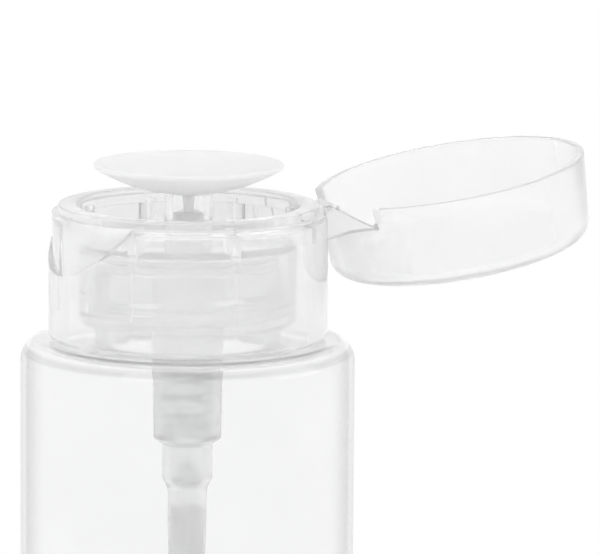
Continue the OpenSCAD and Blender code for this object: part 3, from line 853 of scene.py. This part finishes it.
def wing_outline(play=0.0, hollow=0.0):
    """Flat outline of a wing between its shell fold and its lid fold."""
    place_at, along, lid_fold, _, h = wing_frame()
    across = place_at.to_3x3() @ Vector((0, 1, 0))
    shell_fold = abs(1 / along.y) * h.shell_slope
    tilt = math.atan2(lid_fold.dot(across), lid_fold.dot(along))
    fold = Vector((math.cos(tilt), math.sin(tilt)))
    side = Vector((-fold.y, fold.x))
    shell_corner = Vector((h.shell_reach * shell_fold, 0))
    lid_corner = h.lid_reach * lid_fold.length * fold
    middle = (shell_corner + lid_corner) / 2 - Vector((hollow, 0))
    lid_start = h.lid_start * lid_fold.length
    lid_play = 1.6 * play * side
    corners = [Vector((h.shell_start * shell_fold - play, -play)),
               shell_corner + Vector((play, -play)), middle + Vector((play, 0)),
               lid_corner + play * fold + lid_play, (lid_start - play) * fold + lid_play]
    return [tuple(p) for p in corners]


def mirrored(mesh):
    """A mirror image of a mesh in the plane through the axis and the hinge."""
    twin = mesh.copy()
    twin.transform(Matrix.Scale(-1, 4, (0, 1, 0)))
    bmesh.ops.reverse_faces(twin, faces=twin.faces)
    return twin


def wing_room(depth):
    """Room for both wings, open to the outside and of a depth inwards."""
    outwards = 6
    place_at, *_, h = wing_frame()
    room = prism(wing_outline(h.play), -outwards, depth, place_at)
    return [room, mirrored(room)]


class DISPENSER_OT_shell(Operator):
    """Build the outer shell with its ring, ribs, thumb recess and hinge roots"""
    bl_idname = "dispenser.shell"
    bl_label = "Outer shell"

    def execute(self, context):
        s = sizes("shell")
        h = sizes("hinge")
        low, high, r = span("cap_shell")
        inner, well, ledge = r - s.wall, s.ring - s.ring_width, high - s.ledge
        under = high - s.ring_depth
        shell = turned("outer_shell", [
            (inner, low, 0.15), (r - s.chamfer, low, 0.15), (r, low + s.chamfer, 0.3),
            (r, ledge, s.edge), (s.ring, ledge, 0.15), (s.ring, high, s.edge + 0.1),
            (well, high, s.edge), (well, under, 0.3), (inner, under, 0.5)])
        combine(shell, self.additions(s, h, low, high, inner, well, under), "UNION")
        combine(shell, [*wing_room(h.thickness / 2 + h.play),
                        self.thumb(s, r, ledge)], "DIFFERENCE")
        place(shell, "cap", "shell", "cap_shell")

        def satin(x, y, z, rise):
            """1 on the floor of the thumb recess and along the foot."""
            recess = x < 0 and 0.1 < r - math.hypot(x, y) < 1.2 and low + 2 < z < ledge
            return int(recess or z < low + s.chamfer + 0.2)

        paint(shell, ["satin"], satin)
        return {"FINISHED"}

    def additions(self, s, h, low, high, inner, well, under):
        """Pad, strap root, lugs and ribs."""
        ledge = high - s.ledge
        fold = JOINTS["lid_hinge"]["pos_m"][0] / MM
        pad = to_object("pad", revolve(band(inner - s.pad, inner + BITE, low + 1, ledge - 0.1)))
        knee, toe = under - s.pad_drop, under - s.tongue_drop
        half = [(s.tongue_half, toe, s.tongue_half * 0.98), (s.tongue_half, knee, 0.8),
                (s.pad_half, knee, 0.8), (s.pad_half, high)]
        outline = soften([(-y, *rest) for y, *rest in half[::-1]] + half, 8)
        combine(pad, [prism(outline, 8, 30, UPRIGHT)], "INTERSECT")
        meshes = [taken(pad), block((inner + 0.3, -h.strap_half, ledge - h.strap_height),
                                    (fold - s.fold_gap, h.strap_half, ledge))]
        plate = top("screw_closure") + 0.05
        lug, rib = s.lug_width / 2, s.rib / 2
        for k in range(s.ribs):
            turn = math.tau * k / s.ribs
            for near, half_width, z_from, z_to in (
                    (well - s.lug_reach, lug, plate, high - s.lug_drop),
                    (inner - s.root, lug, plate - s.root_drop, plate + BITE),
                    (inner - s.rib_height, rib, s.rib_foot, plate)):
                meshes.append(block((near, -half_width, z_from),
                                    (inner + BITE, half_width, z_to), turn))
        return meshes

    def thumb(self, s, r, ledge):
        """Cutter of the thumb recess: a round outline, and a cone as its floor."""
        steps = 160
        centre = ledge - s.thumb_height + s.thumb_radius
        circle = [polar(s.thumb_radius, math.tau * k / steps) for k in range(steps)]
        outline = [(point.x, centre + point.y) for point in circle]
        disc = to_object("disc", prism(outline, -r - 6, 0, UPRIGHT))
        bottom = ledge - s.thumb_height - 2
        rise = s.thumb_height + 40
        slope = (s.thumb_low - s.thumb_top) / (s.thumb_height + 3.3)
        combine(disc, [revolve([
            (0, bottom), (r - s.thumb_low, bottom), (r - s.thumb_low + slope * rise, bottom + rise),
            (0, bottom + rise)])], "DIFFERENCE")
        return taken(disc)


class DISPENSER_OT_lid(Operator):
    """Build the flip-top lid, shut, and turn it open about the hinge"""
    bl_idname = "dispenser.lid"
    bl_label = "Lid"

    def execute(self, context):
        s = sizes("lid")
        h = sizes("hinge")
        joint = JOINTS["lid_hinge"]
        hinge = Vector(joint["pos_m"]) / MM
        r = radius("cap_shell")
        rim = hinge.z + s.gap / 2
        head = rim + s.height
        # The draft is spent where the corner starts, and the wall runs on to the head
        low_r = r - s.draft * s.height / (s.height - s.corner)
        lid = turned("flip_lid_cover", [
            (r - s.wall, rim, 0.2), (r, rim, 0.25), (low_r, head, s.corner), (0, head),
            (0, head - s.plate), (low_r - s.wall, head - s.plate, s.corner - s.wall)], 10)
        corner, inner = self.notch(h)
        end = block((8, corner.y - h.play, rim - 1), (r + 2, inner.y, inner.z))
        root = block((r - s.wall - 0.1, -h.strap_half, rim),
                     (hinge.x - s.gap / 2, h.strap_half, rim + h.strap_height))
        through = 3
        combine(lid, [*wing_room(through), end, mirrored(end)], "DIFFERENCE")
        combine(lid, [root], "UNION")
        turn = Matrix.Rotation(-math.radians(joint["range_deg"][0]), 4, Vector(joint["axis"]))
        pivot = Matrix.Translation(hinge * MM)
        lid.data.transform(pivot @ turn @ pivot.inverted())
        place(lid, "flip_lid", "lid", "lid")
        return {"FINISHED"}

    def notch(self, h):
        """Where the gap beside a wing ends, and where its end starts on the lid's fold."""
        *_, lid_fold, apex, _ = wing_frame()
        return apex + h.lid_reach * lid_fold, apex + 0.75 * h.lid_reach * lid_fold


class DISPENSER_OT_hinge(Operator):
    """Build the two snap wings and the strap's film"""
    bl_idname = "dispenser.hinge"
    bl_label = "Hinge"

    def execute(self, context):
        place_at, *_, apex, h = wing_frame()
        driver, joint = JOINTS["lid_hinge"], JOINTS["front_wing_fold"]
        ratio = next(c["ratio"] for c in frame["record"]["behaviour"]["couplings"]
                     if c["joint"] == "front_wing_fold")
        turn = math.radians(ratio * driver["range_deg"][0])
        opened = (Matrix.Translation(apex) @ Matrix.Rotation(-turn, 4, Vector(joint["axis"]))
                  @ Matrix.Translation(-apex) @ place_at)
        wing = prism(wing_outline(0, h.hollow), -h.thickness / 2, h.thickness / 2, opened)
        bmesh.ops.bevel(wing, geom=wing.edges[:], offset=0.12, segments=2, affect="EDGES")
        for side, mesh in (("front", wing), ("rear", mirrored(wing))):
            piece = to_object(side + "_snap_wing", mesh, 60)
            place(piece, side + "_wing", "wing", side + "_hinge_wing")
        self.strap(h)
        return {"FINISHED"}

    def strap(self, h):
        """The film between shell and lid, just below the fold line."""
        pivot = Vector(JOINTS["lid_hinge"]["pos_m"]) / MM
        low, high = pivot.z - h.film_drop - h.film, pivot.z - h.film_drop
        steps = 16
        line = [pivot.x + h.film_reach * (2 * k / steps - 1) for k in range(steps + 1)]
        outline = [(x, low) for x in line] + [(x, high) for x in line[::-1]]
        film = to_object("strap_film", prism(
            outline, -h.strap_half, h.strap_half, Matrix.Rotation(math.pi / 2, 4, "X")))
        coat(film, "wing", SLOTS["cap_shell"])
        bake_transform(film)


class DISPENSER_OT_dish(Operator):
    """Build the press dish with its stem, its pin and its outlet holes"""
    bl_idname = "dispenser.dish"
    bl_label = "Press dish"

    def execute(self, context):
        d = sizes("dish")
        low, high, rim_r = span("press_dish")
        under = high - d.depth
        steps = 24

        def bowl(end_r, low_z, end_z):
            return [(d.stem + (end_r - d.stem) * k / steps,
                     low_z + (end_z - low_z) * (k / steps) ** d.bowl) for k in range(steps + 1)]

        lift = d.thickness
        upper = bowl(rim_r - d.rim_width, under + lift, high - d.rim_dip)[:-1]
        below = bowl(rim_r - 0.15, under, high - d.rim)[::-1][:-1]
        rim = [(rim_r - d.rim_width, high - d.rim_dip, 0.4), (rim_r - 0.1, high, 0.2),
               (rim_r, high - d.rim / 2, 0.3)]
        stem = [(d.stem, under, 0.25), (d.stem, low, 0.25), (d.bore, low, 0.2),
                (d.bore, under, 0.4), (d.pin, under, 0.2), (d.pin_tip, under - d.pin_length, 0.2)]
        dish = turned("press_dish_stem", [
            (0, under + lift), *upper, *rim, *below, *stem, (0, under - d.pin_length)], 4)
        holes = []
        middle = (d.bore + d.pin) / 2
        for k in range(d.outlets):
            a = math.tau * (k + 0.5) / d.outlets
            hole = revolve(band(0, d.outlet, under - 1, under + lift + 1), 32)
            hole.transform(Matrix.Translation(polar(middle, a)))
            holes.append(hole)
        combine(dish, holes, "DIFFERENCE")
        place(dish, "plunger", "dish", "press_dish")

        def region(x, y, z, rise):
            """0 on the dish's upper side, 1 on its stem, 2 on its pin and 3 on its underside."""
            if z < under - 0.3:
                return 2 if math.hypot(x, y) < middle else 1
            return 3 if rise < 0 else 0

        # The upper side and the underside get their own plastics, darker and lighter, as painted
        # shade and painted light.
        paint(dish, ["stem", "pin", "under"], region)
        return {"FINISHED"}


class DISPENSER_OT_pump(Operator):
    """Build the pump: housing, guide, rod, piston, gasket, spring and dip tube"""
    bl_idname = "dispenser.pump"
    bl_label = "Pump"

    def execute(self, context):
        p = sizes("pump")
        self.housing(p)
        self.guide(p)
        self.rod(p)
        self.piston(p)
        self.spring(p)
        low, high, r = span("gasket")
        ring = turned("sealing_ring", band(p.upper + 0.2, r, low, high, 0.15, 0.3))
        place(ring, "pump", "soft", "gasket")
        low, high, r = span("dip_tube")
        tube = turned("suction_tube", band(r - p.tube_wall, r, low, high, 0.2, 0.2), steps=96)
        place(tube, "pump", "tube", "dip_tube")
        for ball in ("outlet_ball", "inlet_ball"):
            coat(frame["nodes"][ball], "steel", SLOTS[ball])
        return {"FINISHED"}

    def guide_bore(self, p):
        return sizes("dish").stem + p.guide_play

    def housing(self, p):
        low, high, r = span("pump_housing")
        # The lower ends of the cones under the valve chamber and under the barrel
        tail_top = p.valve_foot - 2 * (p.valve - p.tail_top)
        barrel_low = p.barrel_foot - 2 * (p.lower - p.valve) / 3
        floor = p.barrel_foot + p.barrel_floor
        guide_r = radius("stem_guide") + PRESSED
        guide_foot = foot("stem_guide") - PRESSED
        guide_top = high - p.guide_flange - PRESSED
        stem_room = self.guide_bore(p) + p.guide_wall + PRESSED
        seat = p.valve_foot - p.seat_drop
        tube_r, tube_top = radius("dip_tube") + PRESSED, top("dip_tube") + PRESSED
        body = turned("pump_body", [
            (p.tail_foot, low, 0.4), (p.tail_top, tail_top, 0.5), (p.valve, p.valve_foot, 0.5),
            (p.valve, barrel_low, 0.4), (p.lower, p.barrel_foot, 0.5),
            (p.upper, high - p.flange, 0.4), (r, high - p.flange, 0.25), (r, high, 0.25),
            (guide_r, high, 0.1), (guide_r, guide_top, 0.1), (stem_room, guide_top, 0.1),
            (stem_room, guide_foot, 0.1), (p.bore, guide_foot, 0.1), (p.bore, floor, 0.3),
            (p.valve_bore, floor, 0.2), (p.valve_bore, seat + p.seat_cone, 0.3),
            (p.seat, seat, 0.1), (p.seat, tube_top, 0.1), (tube_r, tube_top, 0.1),
            (tube_r, low, 0.15)], 6)
        place(body, "pump", "pump", "pump_housing")

    def guide(self, p):
        low, high, r = span("stem_guide")
        bore = self.guide_bore(p)
        sleeve, flange = bore + p.guide_wall, high - p.guide_flange
        guide = turned("stem_sleeve", [
            (bore, low, 0.2), (sleeve, low, 0.2), (sleeve, flange, 0.2), (r, flange, 0.15),
            (r, high, 0.15), (bore, high, 0.2)])
        place(guide, "pump", "pump", "stem_guide")

    def rod(self, p):
        low, high = foot("piston_rod"), top("piston_rod")
        seat = high - p.chamber
        collar = top("piston")
        rod = turned("hollow_rod", [
            (p.rod_channel, low, 0.2), (p.rod, low, 0.3), (p.rod, collar, 0.1),
            (p.collar, collar, 0.2), (p.collar, collar + p.collar_height, 0.2),
            (p.rod, collar + p.collar_height, 0.1), (p.rod, high, 0.3), (p.rod_bore, high, 0.2),
            (p.rod_bore, seat, 0.1), (p.rod_channel, seat, 0.1)], steps=96)
        place(rod, "plunger", "rod", "piston_rod")

    def piston(self, p):
        """A sleeve with a thin lip at each end, which seals against the bore."""
        low, high, seal = span("piston")
        low += 0.2
        sleeve = p.rod + PRESSED
        body = sleeve + p.lip
        piston = turned("lipped_piston", [
            (sleeve, low), (body, low + 0.6, 0.2), (seal - 0.3, low - 0.2, 0.1), (seal, low, 0.1),
            (seal - 0.4, low + 1.7, 0.3), (body + 0.5, low + 2.1, 0.3),
            (body + 0.5, high - 2.1, 0.3), (seal - 0.4, high - 1.7, 0.3), (seal, high - 0.1, 0.1),
            (seal - 0.3, high, 0.1), (body, high - 0.6, 0.2), (sleeve, high)], steps=128)
        place(piston, "plunger", "soft", "piston")

    def spring(self, p):
        """A coil with closed ends."""
        low, high = foot("return_spring"), top("return_spring")
        free = high - low - 2 * p.wire
        wire = [(p.wire * math.cos(b), p.wire * math.sin(b))
                for b in (math.tau * k / 12 for k in range(12))]
        spring = to_object("steel_spring", coil(
            p.coil, p.turns, 48 * p.turns,
            lambda t: low + p.wire + free * self.rise(t, p.turns), lambda t: wire), 60)
        place(spring, "pump", "steel", "return_spring")
        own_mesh(spring)

    def rise(self, t, turns):
        """Height along the coil: nearly flat over the first and the last turn."""
        flat, slow = 1 / turns, 0.35
        steep = (1 - 2 * flat * slow) / (1 - 2 * flat)
        if t < flat:
            return t * slow
        if t > 1 - flat:
            return 1 - (1 - t) * slow
        return flat * slow + (t - flat) * steep


class DISPENSER_PT_panel(Panel):
    """Steps that build the dispenser"""
    bl_label = "Dispenser"
    bl_idname = "DISPENSER_PT_panel"
    bl_space_type = "VIEW_3D"
    bl_region_type = "UI"
    bl_category = "Dispenser"

    def draw(self, context):
        for step in STEPS:
            self.layout.operator(step.bl_idname)


GROUPS = {
    "bottle": BottleSizes, "thread": ThreadSizes, "closure": ClosureSizes, "shell": ShellSizes,
    "lid": LidSizes, "hinge": HingeSizes, "dish": DishSizes, "pump": PumpSizes,
    "stage": PhotoStage, "finishes": Finishes,
}
STEPS = (DISPENSER_OT_stage, DISPENSER_OT_bottle, DISPENSER_OT_closure, DISPENSER_OT_shell,
         DISPENSER_OT_lid, DISPENSER_OT_hinge, DISPENSER_OT_dish, DISPENSER_OT_pump)


def register():
    for name, kind in GROUPS.items():
        bpy.utils.register_class(kind)
        setattr(bpy.types.Scene, "dispenser_" + name, PointerProperty(type=kind))
    for step in (*STEPS, DISPENSER_PT_panel):
        bpy.utils.register_class(step)


def unregister():
    for step in reversed((*STEPS, DISPENSER_PT_panel)):
        bpy.utils.unregister_class(step)
    for name, kind in reversed(GROUPS.items()):
        delattr(bpy.types.Scene, "dispenser_" + name)
        bpy.utils.unregister_class(kind)


def main():
    register()
    for step in STEPS:
        getattr(bpy.ops.dispenser, step.bl_idname.split(".")[1])()
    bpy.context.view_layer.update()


if __name__ == "__main__":
    main()
